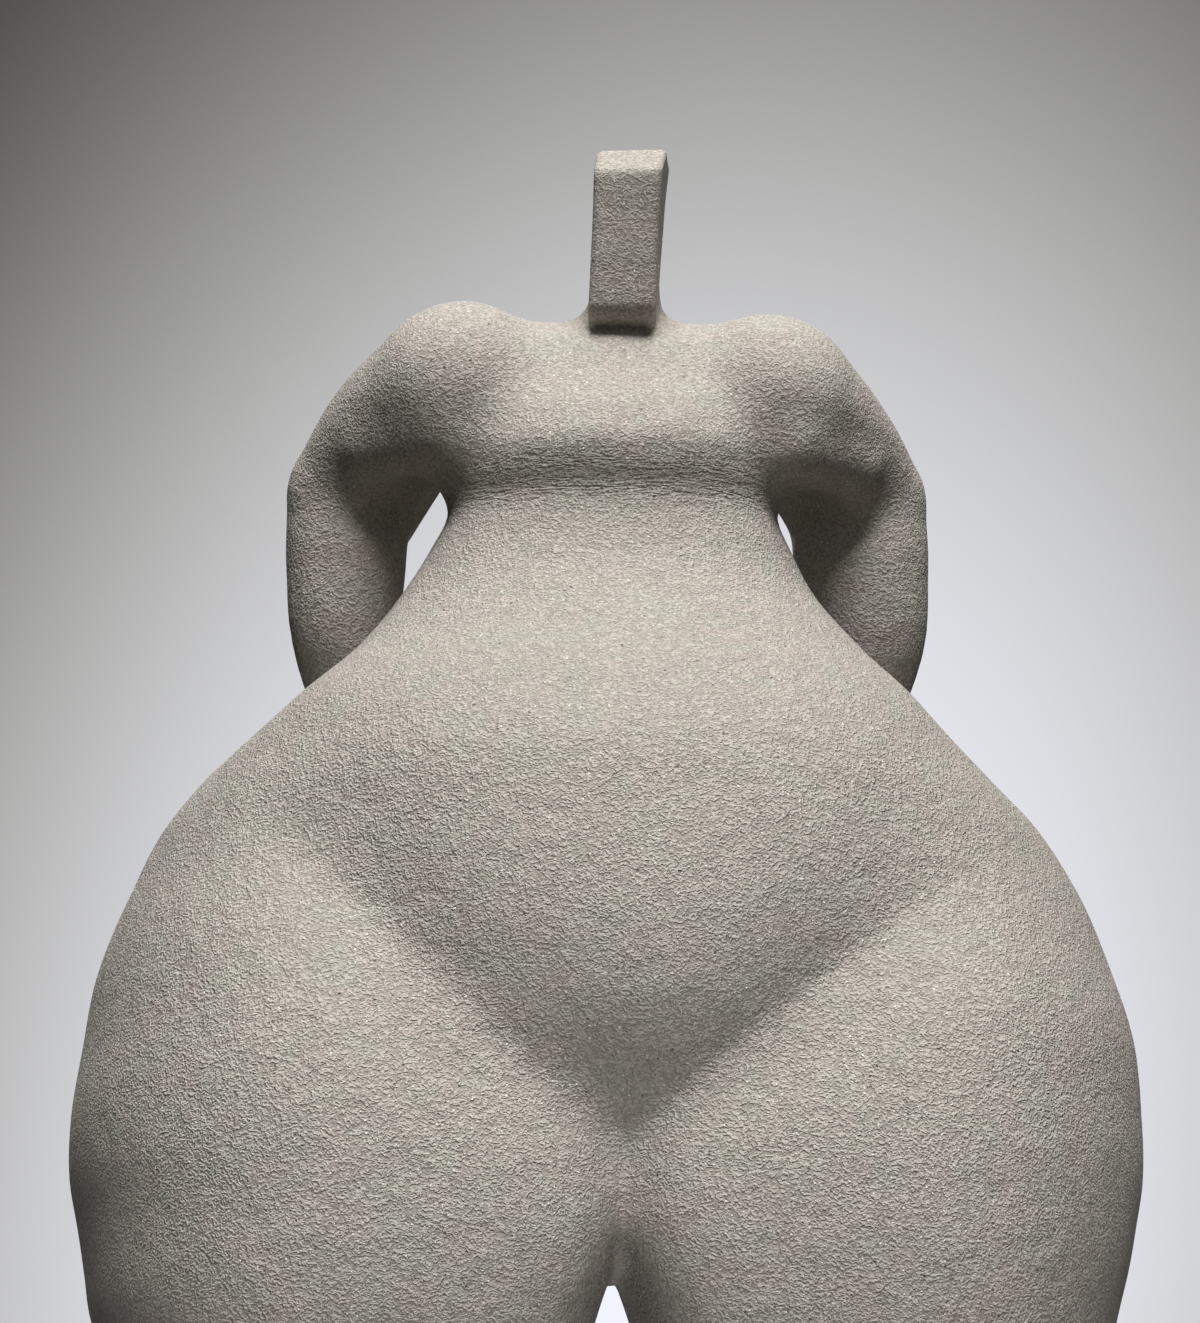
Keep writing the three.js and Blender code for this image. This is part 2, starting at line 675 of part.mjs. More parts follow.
const geometry = new THREE.BufferGeometry();
geometry.setAttribute('position', new THREE.BufferAttribute(new Float32Array(joined.vertProperties), 3));
geometry.setIndex(new THREE.BufferAttribute(new Uint32Array(joined.triVerts), 1));
geometry.computeVertexNormals();

const stoneware = new THREE.MeshStandardMaterial({ color: 0xaca598, roughness: 0.85, metalness: 0 });
const figureMesh = new THREE.Mesh(geometry, stoneware);
figureMesh.name = 'female_figure';

const part = new THREE.Group();
part.add(figureMesh);

export default part;
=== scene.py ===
import math

import bpy
import numpy as np
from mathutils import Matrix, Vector, noise


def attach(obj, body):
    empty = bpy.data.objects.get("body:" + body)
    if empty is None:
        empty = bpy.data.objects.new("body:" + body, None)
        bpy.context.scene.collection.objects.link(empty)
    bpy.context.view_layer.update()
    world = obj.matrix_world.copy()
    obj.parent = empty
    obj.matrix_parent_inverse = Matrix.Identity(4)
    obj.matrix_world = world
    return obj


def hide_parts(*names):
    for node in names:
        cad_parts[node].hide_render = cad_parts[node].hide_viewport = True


# Standing female figure in coarse grogged stoneware. Sizes are millimetres until the mesh is made.
# +Z is up and the figure faces -Y.

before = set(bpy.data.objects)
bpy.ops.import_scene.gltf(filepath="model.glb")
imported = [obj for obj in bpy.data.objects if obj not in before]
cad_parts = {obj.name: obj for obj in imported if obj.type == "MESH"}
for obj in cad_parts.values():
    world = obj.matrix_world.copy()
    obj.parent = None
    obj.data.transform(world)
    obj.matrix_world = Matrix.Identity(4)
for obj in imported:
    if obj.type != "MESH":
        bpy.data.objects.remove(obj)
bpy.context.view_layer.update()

# ---- base ----
BASE_HALF = (95.0, 75.0, 11.0)
BASE_CORNER = 24.0
BASE_EDGE = 3.0

# ---- trunk: z, left, right, front, back ----
# The trunk and the legs are closed off with a rounded edge where their tables end.
CAP_EDGE = 10.0
LEAST_RADIUS = 0.5
TRUNK_ROUNDNESS = 2.0
TRUNK = np.array([
    (545.5, -31, 30, -3, 15),
    (537, -39, 38, -14, 23),
    (526, -43, 42, -22.5, 28),
    (513, -43.5, 42.5, -32, 31),
    (506, -43.3, 41.8, -34.8, 31),
    (500, -43, 41.4, -34, 31),
    (493, -42.4, 41.3, -31.4, 31),
    (484, -46.5, 45, -32.4, 33),
    (472, -53.6, 50.8, -37.6, 37),
    (458, -64, 61.9, -49, 43),
    (441, -82, 77.6, -66, 53),
    (424, -90.5, 86.5, -79.5, 63),
    (404, -94.5, 92.5, -87.5, 66),
    (386, -93.5, 91.5, -92.5, 64),
    (370, -90.5, 88.5, -94.5, 60),
    (355, -84, 82, -93.5, 57),
    (342, -74, 72, -87.5, 54),
    (330, -61.5, 59.5, -77.5, 50),
    (318, -48.5, 46.5, -57, 40),
], float)

# ---- hips, thighs and lower legs: z, inner, right outer, left outer, front, back ----
LEG_WIDEST = 0.68
INNER_FRONT = -85.0
INNER_RISE = 0.35
INNER_REACH = 95.0
MIDLINE = -2.6
LEG_ROUND_OUTER = 2.1
LEG_ROUND_INNER_FRONT = 4.3
LEG_ROUND_INNER_BACK = 2.2
# The thighs join in a wider seam at the front, above the gap.
LEG_SEAM = 1.4
CREASE_SEAM = 9.0
CREASE_SEAM_RISE = (288, 309)
CREASE_SEAM_FRONT = (-15, -45)
HIP_SEAM = 12.5
LEG = np.array([
    (453, 24, 49, 57, -17, 27),
    (437, 3, 84.5, 91.7, -34, 55),
    (420, -8, 106, 110, -49.5, 75),
    (400, -14, 119.8, 121, -61.5, 86),
    (380, -17, 127.3, 128.7, -74, 93),
    (360, -19, 132.7, 132, -84, 95),
    (342, -19.7, 133, 134.5, -90, 92),
    (327, -19, 132, 134, -93, 87.5),
    (314, -15.5, 129.3, 131.2, -94, 82),
    (304, -11.4, 126.9, 129.5, -94, 76.5),
    (295, -7.2, 124.3, 128.2, -93.2, 71.3),
    (286, -2.8, 121.8, 125.6, -92, 66.4),
    (260, 6.5, 114, 117.7, -84, 56),
    (230, 11, 101.5, 104, -71, 48),
    (195, 13, 86, 87.5, -57, 41.5),
    (160, 13, 74, 75, -43, 39),
    (125, 13, 65, 65, -34, 38),
    (90, 13, 55, 55, -27, 32),
    (60, 13, 47, 47, -22, 24),
    (30, 12, 44, 44, -20, 20),
    (10, 12, 44, 44, -20, 20),
], float)

# ---- arms: x, y, z and radius of each joint ----
# Each arm has its upper part, its forearm, the web inside the elbow, the hollow in front of it
# and the brow above the hollow.
ARM_RIGHT = (
    [(38.8, -1, 522.2, 23.7), (56.7, 12.7, 515.2, 17), (65.4, 26, 505.2, 16.2)],
    [(65.4, 27, 503, 16.6), (65.6, 28.5, 486, 17.3), (65.5, 34, 463, 15.2), (54, 59, 425, 9.5)],
    [(50, 28, 514.5, 12), (59.4, 36, 503.5, 13), (63, 33, 492.5, 15)],
    [(60, 12, 493.5, 1.5), (44, 10.5, 494.5, 10.5)],
    [(43.5, -14.2, 507.4, 6.0), (62, 2, 506.8, 3.8)],
)
ARM_LEFT = (
    [(38.4, -1, 524.3, 23.7), (56.2, 12.7, 517.5, 17.2), (66.6, 26, 506, 15.4)],
    [(66.6, 27, 503, 16), (67.2, 28.5, 486, 15.6), (66.3, 33, 463, 13.4), (54, 59, 425, 9.5)],
    [(50, 28, 517.7, 12), (58.3, 36, 507.5, 13), (64.5, 33, 500, 14.8)],
    [(60, 12, 496.5, 1.5), (46, 10.5, 495, 10.5)],
    [(41.2, -12.4, 510.2, 6.2), (62, 3.5, 510.6, 4.2)],
)
LIMB_CUTS = 5
ELBOW_SEAM = 2.5
WEB_SEAM = 2.0
BROW_SEAM = 7.0
HOLLOW_EDGE = 8.0
# The arms flow more softly into the back above the elbows.
ARM_SEAM = 8.0
ARM_SEAM_BACK = 22.0
SOFT_FROM_BACK = (10, 24)
SOFT_FROM_HEIGHT = (502, 514)

# ---- neck and block head ----
NECK = ((2.6, 6, 536, 9.2), (2.6, -7, 560, 7.2))
NECK_SEAM = 9.0
HEAD_SEAM = 2.0
HEAD_CENTRE = (2.8, -11, 563.2)
HEAD_HALF_WIDTH = 8.65
HEAD_HALF_DEPTH = 13.5
HEAD_HALF_HEIGHT = 22.0
HEAD_WIDENING = 0.3
HEAD_FLARE = 0.4
HEAD_LEAN = 1.0
CHIN_SLOPE = 0.3
HEAD_NOD = 5.0
HEAD_TURN = -0.10
HEAD_TWIST = -0.03
HEAD_EDGE = 2.6
CROWN_START = 13.0
CROWN_SLOPE = 0.62
CROWN_EDGE = 1.6

# ---- groin fold, softer on the left ----
FOLD_X = -1.5
FOLD_TIP = 329.6
FOLD_TIP_ROUND = 3.0
FOLD_DEPTH = 6.6
FOLD_BELOW = 18.5
FOLD_FADE_BACK = (-50, -20)
FOLD_BLEND = 12.0
# Slope, bend, reach above, softness, and how far out it starts to fade and ends.
FOLD_LEFT = np.array([0.83, 0.0012, 20, 4.6, 50, 104])
FOLD_RIGHT = np.array([0.9, -0.0015, 10, 2.6, 40, 97])

# ---- crease between the thighs ----
CREASE_DEPTH = 0.9
CREASE_WIDTH = 1.5
CREASE_LOW = -3.2
CREASE_HIGH = -1.6
CREASE_LEAN = (298, 330)
CREASE_STARTS = (296, 304)
CREASE_ENDS = (322, 331)
CREASE_FRONT = (-50, -60)

# ---- feet: x, y, z and radius ----
HEEL = (27.5, 4, 35, 14)
TOE = (32, -46, 30, 10)
FOOT_SEAM = 9.0
BASE_SEAM = 2.5

# ---- where each part matters; it isn't computed elsewhere ----
TRUNK_ABOVE = 290
FOLD_ABOVE = 200
FOLD_BEFORE = -20
ARMS_ABOVE = 400
ARMS_BEHIND = -50
HEAD_ABOVE = 510
FEET_BELOW = 90
BASE_BELOW = 40

# ---- mesh ----
GRID = 3.0
GRID_LOW = (-140.8, -98.2, -4.1)
GRID_HIGH = (140, 104, 592)
REFINE_TURNS = 2
GRADIENT_STEP = 0.05
LEAST_SLOPE = 0.2
LONGEST_MOVE = 2.0
EDGE_PLAIN = 9.0
EDGE_HEAD = 1.1
EDGE_SHOULDERS = 2.6
EDGE_FOLD = 2.2
EDGE_BUST = 1.8
EDGE_BASE = 2.6
EDGE_CREASE = 1.1
MILLIMETRE = 0.001

# ---- marks of the hand: size across and depth of the wide and the close ones ----
HAND_WIDE = (34.0, 0.35)
HAND_CLOSE = (11.0, 0.12)
HAND_SHIFT = 200.0
HAND_LIFT = 0.6
HAND_ABOVE_BASE = (22, 30)


def curve(z, rows, column):
    """Smooth curve along z through one column of a section table."""
    zs = rows[::-1, 0]
    vs = rows[::-1, column]
    steps = np.diff(zs)
    slopes = np.diff(vs) / steps
    tangents = np.empty_like(vs)
    tangents[0], tangents[-1] = slopes[0], slopes[-1]
    tangents[1:-1] = (slopes[:-1] * steps[1:] + slopes[1:] * steps[:-1]) / (steps[1:] + steps[:-1])
    zc = np.clip(z, zs[0], zs[-1])
    i = np.clip(np.searchsorted(zs, zc) - 1, 0, len(zs) - 2)
    h = steps[i]
    s = (zc - zs[i]) / h
    s2, s3 = s * s, s * s * s
    return ((2 * s3 - 3 * s2 + 1) * vs[i] + (s3 - 2 * s2 + s) * h * tangents[i]
            + (3 * s2 - 2 * s3) * vs[i + 1] + (s3 - s2) * h * tangents[i + 1])


def smooth_step(low, high, v):
    t = np.clip((v - low) / (high - low), 0, 1)
    return t * t * (3 - 2 * t)


def join(a, b, k):
    """Union of two distances with a rounded seam of size k."""
    h = np.clip(0.5 + 0.5 * (b - a) / k, 0, 1)
    return b * (1 - h) + a * h - k * h * (1 - h)


def meet(a, b, k):
    """What two distances have in common, with a rounded edge of size k."""
    return -join(-a, -b, k)


def section_distance(x, y, rx, ry, n):
    """Distance to a superellipse with radii rx, ry."""
    u = np.maximum(np.abs(x) / rx, 1e-6)
    v = np.maximum(np.abs(y) / ry, 1e-6)
    norm = (u ** n + v ** n) ** (1 / n)
    gx = (u / norm) ** (n - 1) / rx
    gy = (v / norm) ** (n - 1) / ry
    return (norm - 1) / np.hypot(gx, gy)


def capped(side, z, rows):
    """A side surface closed off at the ends of its section table."""
    return meet(side, np.maximum(z - rows[0, 0], rows[-1, 0] - z), CAP_EDGE)


def trunk_distance(x, y, z):
    left, right, front, back = (curve(z, TRUNK, c) for c in (1, 2, 3, 4))
    rx = np.maximum((right - left) / 2, LEAST_RADIUS)
    ry = np.maximum((back - front) / 2, LEAST_RADIUS)
    u = x - (left + right) / 2
    v = y - (front + back) / 2
    return capped(section_distance(u, v, rx, ry, TRUNK_ROUNDNESS), z, TRUNK)


def leg_distance(x, y, z, outer_column, midline):
    """A leg on the +X side.

    Its inner side is read lower down towards the back, so the gap rises that way.
    """
    outer, front, back = (curve(z, LEG, c) for c in (outer_column, 4, 5))
    lower = INNER_RISE * (np.clip(y, -INNER_REACH, INNER_REACH) - INNER_FRONT)
    inner = curve(z - lower, LEG, 1) + midline
    rx = np.maximum((outer - inner) / 2, LEAST_RADIUS)
    u = x - (inner + outer) / 2
    yc = front + LEG_WIDEST * (back - front)
    v = y - yc
    ry = np.where(v < 0, yc - front, back - yc)
    inner_round = np.where(v < 0, LEG_ROUND_INNER_FRONT, LEG_ROUND_INNER_BACK)
    side = section_distance(u, v, rx, ry, np.where(u < 0, inner_round, LEG_ROUND_OUTER))
    return capped(side, z, LEG)


def round_cone(x, y, z, a, b):
    """Distance to the skin around two balls; a ball is x, y, z and radius."""
    a, b = np.asarray(a, float), np.asarray(b, float)
    d = b[:3] - a[:3]
    length = math.sqrt(d @ d)
    px, py, pz = x - a[0], y - a[1], z - a[2]
    along = (px * d[0] + py * d[1] + pz * d[2]) / length
    away2 = np.maximum(px * px + py * py + pz * pz - along * along, 0)
    taper = a[3] - b[3]
    slant = taper / math.sqrt(max(length * length - taper * taper, 1e-6))
    t = np.clip((along - slant * np.sqrt(away2)) / length, 0, 1)
    gap = np.sqrt((px - t * d[0]) ** 2 + (py - t * d[1]) ** 2 + (pz - t * d[2]) ** 2)
    return gap - (a[3] - taper * t)


def limb_distance(x, y, z, joints):
    """Round cones along a smooth path through the joints."""
    joints = [np.array(j, float) for j in joints]
    last = len(joints) - 1
    path = []
    for i in range(last):
        a, b, c, d = joints[max(i - 1, 0)], joints[i], joints[i + 1], joints[min(i + 2, last)]
        for n in range(LIMB_CUTS):
            t = n / LIMB_CUTS
            bend = 2 * a - 5 * b + 4 * c - d + t * (3 * (b - c) + d - a)
            path.append(b + 0.5 * t * (c - a + t * bend))
    path.append(joints[-1])
    nearest = round_cone(x, y, z, path[0], path[1])
    for a, b in zip(path[1:-1], path[2:]):
        nearest = np.minimum(nearest, round_cone(x, y, z, a, b))
    return nearest


def arm_distance(x, y, z, arm):
    upper, lower, web, hollow, brow = arm
    solid = join(limb_distance(x, y, z, upper), limb_distance(x, y, z, lower), ELBOW_SEAM)
    solid = join(solid, limb_distance(x, y, z, web), WEB_SEAM)
    solid = join(solid, round_cone(x, y, z, *brow), BROW_SEAM)
    return meet(solid, -round_cone(x, y, z, *hollow), HOLLOW_EDGE)


def arm_seam(y, z):
    """Size of the seam between an arm and the trunk."""
    at_back = smooth_step(*SOFT_FROM_BACK, y)
    high = smooth_step(*SOFT_FROM_HEIGHT, z)
    return ARM_SEAM + (ARM_SEAM_BACK - ARM_SEAM) * at_back * high


def head_distance(x, y, z):
    """Block with rounded edges, a slanted crown at the front and a slanted underside."""
    pz = z - HEAD_CENTRE[2]
    t = pz / HEAD_HALF_HEIGHT
    turn = HEAD_TURN + HEAD_TWIST * np.clip(t, -1, 1)
    px = x - HEAD_CENTRE[0] - HEAD_LEAN * t
    py = y - HEAD_CENTRE[1] + HEAD_NOD * t
    qx = px * np.cos(turn) + py * np.sin(turn)
    qy = py * np.cos(turn) - px * np.sin(turn)
    half_width = HEAD_HALF_WIDTH + HEAD_WIDENING * t + HEAD_FLARE * t * t
    drop = CHIN_SLOPE * (np.clip(qy, -HEAD_HALF_DEPTH, HEAD_HALF_DEPTH) + HEAD_HALF_DEPTH)
    dx = np.abs(qx) - half_width + HEAD_EDGE
    dy = np.abs(qy) - HEAD_HALF_DEPTH + HEAD_EDGE
    dz = np.maximum(pz, -pz - drop) - HEAD_HALF_HEIGHT + HEAD_EDGE
    outside = np.sqrt(np.maximum(dx, 0) ** 2 + np.maximum(dy, 0) ** 2 + np.maximum(dz, 0) ** 2)
    block = outside + np.minimum(np.maximum(np.maximum(dx, dy), dz), 0) - HEAD_EDGE
    past_front = (-qy - HEAD_HALF_DEPTH) * math.sin(CROWN_SLOPE)
    past_top = (pz - CROWN_START) * math.cos(CROWN_SLOPE)
    return meet(block, past_front + past_top, CROWN_EDGE)


def rounded_corner(a, b, radius):
    """Distance past a rounded corner, from how far a point is past its middle on each axis."""
    past = np.hypot(np.maximum(a, 0), np.maximum(b, 0))
    return past + np.minimum(np.maximum(a, b), 0) - radius


def base_distance(x, y, z):
    """Slab with rounded corners, standing on z = 0."""
    dx = np.abs(x) - BASE_HALF[0] + BASE_CORNER
    dy = np.abs(y) - BASE_HALF[1] + BASE_CORNER
    side = rounded_corner(dx, dy, BASE_CORNER) + BASE_EDGE
    cap = np.abs(z - BASE_HALF[2]) - BASE_HALF[2] + BASE_EDGE
    return rounded_corner(side, cap, BASE_EDGE)


def fold_line(x, z):
    """How far a point lies above the groin fold, measured square to it.

    Also gives the fold's reach above, its softness and how much of it is left there.
    """
    across = x - FOLD_X
    side = smooth_step(-FOLD_BLEND, FOLD_BLEND, across)
    sizes = (a + side * (b - a) for a, b in zip(FOLD_LEFT, FOLD_RIGHT))
    slope, bend, above, soft, fades, ends = sizes
    out = np.hypot(across, FOLD_TIP_ROUND) - FOLD_TIP_ROUND
    off = (z - FOLD_TIP - slope * out - bend * out * out) / np.hypot(1, slope)
    return off, above, soft, 1 - smooth_step(fades, ends, np.abs(across))


def fold_depth(x, y, z):
    off, above, soft, fade = fold_line(x, z)
    sink = np.exp((soft - np.hypot(off, soft)) / np.where(off > 0, above, FOLD_BELOW))
    return FOLD_DEPTH * fade * sink * (1 - smooth_step(*FOLD_FADE_BACK, y))


def figure(x, y, z):
    """Distance to the figure with its base, negative inside; the arguments are flat arrays."""
    at_front = smooth_step(*CREASE_SEAM_FRONT, y)
    seam = LEG_SEAM + (CREASE_SEAM - LEG_SEAM) * smooth_step(*CREASE_SEAM_RISE, z) * at_front
    body = join(leg_distance(x, y, z, 2, MIDLINE), leg_distance(-x, y, z, 3, -MIDLINE), seam)

    def change(where, rule):
        if where.any():
            body[where] = rule(body[where], x[where], y[where], z[where])

    def with_head(d, a, b, c):
        with_neck = join(d, round_cone(a, b, c, *NECK), NECK_SEAM)
        return join(with_neck, head_distance(a, b, c), HEAD_SEAM)

    def with_feet(d, a, b, c):
        return join(d, round_cone(np.abs(a), b, c, HEEL, TOE), FOOT_SEAM)

    change(z > TRUNK_ABOVE, lambda d, a, b, c: join(trunk_distance(a, b, c), d, HIP_SEAM))
    change((z > FOLD_ABOVE) & (y < FOLD_BEFORE), lambda d, a, b, c: d + fold_depth(a, b, c))
    for arm, side in ((ARM_RIGHT, 1), (ARM_LEFT, -1)):
        near = (z > ARMS_ABOVE) & (side * x > 0) & (y > ARMS_BEHIND)
        change(near, lambda d, a, b, c: join(d, arm_distance(side * a, b, c, arm), arm_seam(b, c)))
    change(z > HEAD_ABOVE, with_head)
    change(z < FEET_BELOW, with_feet)
    change(z < BASE_BELOW, lambda d, a, b, c: join(d, base_distance(a, b, c), BASE_SEAM))
    return body


def figure_at(points):
    return figure(*(points[:, i].copy() for i in range(3)))


def surface_nets(low, high, step):
    """Closed quad mesh near the surface, one point per grid cell that the surface crosses."""
    axes = [np.arange(a, b + step, step) for a, b in zip(low, high)]
    grid = np.stack(np.meshgrid(*axes, indexing="ij"), -1).reshape(-1, 3)
    value = figure_at(grid).reshape([len(a) for a in axes])
    inside = value < 0
    nx, ny, nz = (n - 1 for n in value.shape)
    corners = [(i, j, k) for i in (0, 1) for j in (0, 1) for k in (0, 1)]
    count = sum(inside[i:nx + i, j:ny + j, k:nz + k].astype(int) for i, j, k in corners)
    active = (count > 0) & (count < 8)
    cells = np.argwhere(active)
    number = np.full(active.shape, -1)
    number[active] = np.arange(len(cells))
    total = np.zeros((len(cells), 3))
    hits = np.zeros(len(cells))
    for axis in range(3):
        for corner in corners:
            if corner[axis]:
                continue
            far = list(corner)
            far[axis] = 1
            a = value[tuple((cells + corner).T)]
            b = value[tuple((cells + far).T)]
            cross = (a < 0) != (b < 0)
            point = np.tile(np.array(corner, float), (len(cells), 1))
            point[:, axis] += np.where(cross, a / np.where(a == b, 1, a - b), 0)
            total[cross] += point[cross]
            hits[cross] += 1
    points = (cells + total / hits[:, None]) * step + np.array([a[0] for a in axes])
    quads = []
    for axis in range(3):
        near, far = [slice(None)] * 3, [slice(None)] * 3
        near[axis], far[axis] = slice(0, -1), slice(1, None)
        starts_inside = inside[tuple(near)]
        edges = np.argwhere(starts_inside != inside[tuple(far)])
        one, two = (axis + 1) % 3, (axis + 2) % 3
        out = starts_inside[tuple(edges.T)]
        ring = []
        for back_one, back_two in ((1, 1), (0, 1), (0, 0), (1, 0)):
            cell = edges.copy()
            cell[:, one] -= back_one
            cell[:, two] -= back_two
            ring.append(number[tuple(cell.T)])
        quad = np.stack(ring, 1)
        quad[~out] = quad[~out][:, ::-1]
        quads.append(quad)
    return points, np.concatenate(quads)


def triangles(points, quads):
    """Splits each quad along its shorter diagonal."""
    a, b, c, d = (points[quads[:, i]] for i in range(4))
    short = np.linalg.norm(a - c, axis=1) <= np.linalg.norm(b - d, axis=1)
    first = np.where(short[:, None], quads[:, [0, 1, 2]], quads[:, [0, 1, 3]])
    second = np.where(short[:, None], quads[:, [0, 2, 3]], quads[:, [1, 2, 3]])
    return np.concatenate([first, second])


def gradient(points):
    columns = []
    for axis in range(3):
        shift = np.zeros(3)
        shift[axis] = GRADIENT_STEP
        rise = figure_at(points + shift) - figure_at(points - shift)
        columns.append(rise / (2 * GRADIENT_STEP))
    return np.stack(columns, 1)


def settle(points, turns):
    """Moves points along the surface normal until they lie on the form; also gives the normals."""
    for _ in range(turns):
        d = figure_at(points)
        g = gradient(points)
        size2 = np.maximum((g * g).sum(1), LEAST_SLOPE)
        points = points - g * np.clip(d / size2, -LONGEST_MOVE, LONGEST_MOVE)[:, None]
    return points, g / np.maximum(np.linalg.norm(g, axis=1), 1e-6)[:, None]


def wanted_edge(p):
    """Longest edge wanted at each point: fine at the head, folds, creases and base edge."""
    x, y, z = p.T
    near_fold = np.abs(fold_line(x, z)[0]) < 7
    near_crease = np.abs(x - MIDLINE) < 6
    size = np.full(len(p), EDGE_PLAIN)
    size[z > 535] = EDGE_HEAD
    size[(z > 480) & (z <= 535)] = EDGE_SHOULDERS
    size[near_fold & (y < -55) & (np.abs(x) < 75) & (z > 300)] = EDGE_FOLD
    size[(z > 486) & (z < 502) & (y < -5) & (np.abs(x) < 45)] = EDGE_BUST
    size[(z < 24) & (z > 15)] = EDGE_BASE
    size[near_crease & (z > 286) & (z < 334) & (y < -48)] = EDGE_CREASE
    return size


def refine(points, faces):
    """Splits every edge that is longer than wanted where it lies, keeping the mesh closed."""
    sides = np.concatenate([faces[:, [0, 1]], faces[:, [1, 2]], faces[:, [2, 0]]])
    edges, where = np.unique(np.sort(sides, axis=1), axis=0, return_inverse=True)
    where = where.reshape(3, -1).T
    middle = (points[edges[:, 0]] + points[edges[:, 1]]) / 2
    length = np.linalg.norm(points[edges[:, 0]] - points[edges[:, 1]], axis=1)
    split = length > wanted_edge(middle)
    number = np.full(len(edges), -1)
    number[split] = len(points) + np.arange(split.sum())
    points = np.concatenate([points, middle[split]])
    mids = number[where]
    cut = (mids >= 0).astype(int)
    made = [faces[cut.sum(1) == 0]]
    for turn in range(3):
        order = [turn, (turn + 1) % 3, (turn + 2) % 3]
        f, m, c = faces[:, order], mids[:, order], cut[:, order]
        one = (c[:, 0] == 1) & (c[:, 1] == 0) & (c[:, 2] == 0)
        two = (c[:, 0] == 1) & (c[:, 1] == 1) & (c[:, 2] == 0)
        made.append(np.stack([f[one, 0], m[one, 0], f[one, 2]], 1))
        made.append(np.stack([m[one, 0], f[one, 1], f[one, 2]], 1))
        made.append(np.stack([m[two, 0], f[two, 1], m[two, 1]], 1))
        made.append(np.stack([f[two, 0], m[two, 0], m[two, 1]], 1))
        made.append(np.stack([f[two, 0], m[two, 1], f[two, 2]], 1))
    every = cut.sum(1) == 3
    f, m = faces[every], mids[every]
    made.append(np.stack([f[:, 0], m[:, 0], m[:, 2]], 1))
    made.append(np.stack([m[:, 0], f[:, 1], m[:, 1]], 1))
    made.append(np.stack([m[:, 2], m[:, 1], f[:, 2]], 1))
    made.append(np.stack([m[:, 0], m[:, 1], m[:, 2]], 1))
    return points, np.concatenate(made)


def crease_depth(points):
    """How deep the line where the thighs meet is pressed in to a narrow groove."""
    x, y, z = points.T
    along = smooth_step(*CREASE_STARTS, z) * (1 - smooth_step(*CREASE_ENDS, z))
    reach = along * smooth_step(*CREASE_FRONT, y)
    line = CREASE_LOW + (CREASE_HIGH - CREASE_LOW) * smooth_step(*CREASE_LEAN, z)
    return CREASE_DEPTH * np.exp(-((x - line) / CREASE_WIDTH) ** 2) * reach


def hand_marks(points):
    """How deep the surface is pressed in by hand and tool, in millimetres; never outwards."""
    wide_size, wide_depth = HAND_WIDE
    close_size, close_depth = HAND_CLOSE
    depth = np.empty(len(points))
    for i, p in enumerate(points):
        wide = noise.noise(Vector(p / wide_size))
        close = noise.noise(Vector((p + HAND_SHIFT) / close_size))
        depth[i] = wide_depth * (wide + HAND_LIFT) + close_depth * (close + HAND_LIFT)
    return np.maximum(depth, 0)


points, quads = surface_nets(GRID_LOW, GRID_HIGH, GRID)
faces = triangles(points, quads)
points, normals = settle(points, 2)
for _ in range(REFINE_TURNS):
    points, faces = refine(points, faces)
    points, normals = settle(points, 1)
points, normals = settle(points, 1)
marks = hand_marks(points) * smooth_step(*HAND_ABOVE_BASE, points[:, 2])
points = points - normals * (marks + crease_depth(points))[:, None]
print("mesh", len(points), "points", len(faces), "triangles")

mesh = bpy.data.meshes.new("figure_body")
mesh.vertices.add(len(points))
mesh.vertices.foreach_set("co", (points * MILLIMETRE).astype(np.float32).ravel())
mesh.loops.add(3 * len(faces))
mesh.loops.foreach_set("vertex_index", faces.astype(np.int32).ravel())
mesh.polygons.add(len(faces))
mesh.polygons.foreach_set("loop_start", np.arange(0, 3 * len(faces), 3, dtype=np.int32))
mesh.polygons.foreach_set("use_smooth", np.ones(len(faces), bool))
mesh.update(calc_edges=True)
mesh.validate()
body = bpy.data.objects.new("figure_body", mesh)
bpy.context.scene.collection.objects.link(body)


# ---- node building ----
def link(tree, source, socket):
    """Feeds a socket from another socket, or sets its value."""
    if isinstance(source, bpy.types.NodeSocket):
        tree.links.new(source, socket)
    else:
        socket.default_value = source


def maths(tree, operation, *inputs):
    node = tree.nodes.new("ShaderNodeMath")
    node.operation = operation
    for socket, source in zip(node.inputs, inputs):
        link(tree, source, socket)
    return node.outputs[0]


def vectors(tree, operation, a, b):
    node = tree.nodes.new("ShaderNodeVectorMath")
    node.operation = operation
    link(tree, a, node.inputs[0])
    link(tree, b, node.inputs["Scale"] if operation == "SCALE" else node.inputs[1])
    return node.outputs[0]


def noise_at(tree, place, scale, detail=2.0, roughness=0.5, output="Fac"):
    node = tree.nodes.new("ShaderNodeTexNoise")
    link(tree, place, node.inputs["Vector"])
    node.inputs["Scale"].default_value = scale
    node.inputs["Detail"].default_value = detail
    node.inputs["Roughness"].default_value = roughness
    return node.outputs[output]


def grains_at(tree, place, scale):
    """Scattered grains: distance from the nearest grain's middle, and a random number for each."""
    node = tree.nodes.new("ShaderNodeTexVoronoi")
    link(tree, place, node.inputs["Vector"])
    node.inputs["Scale"].default_value = scale
    parts = tree.nodes.new("ShaderNodeSeparateColor")
    tree.links.new(node.outputs["Color"], parts.inputs[0])
    return node.outputs["Distance"], parts.outputs[0]


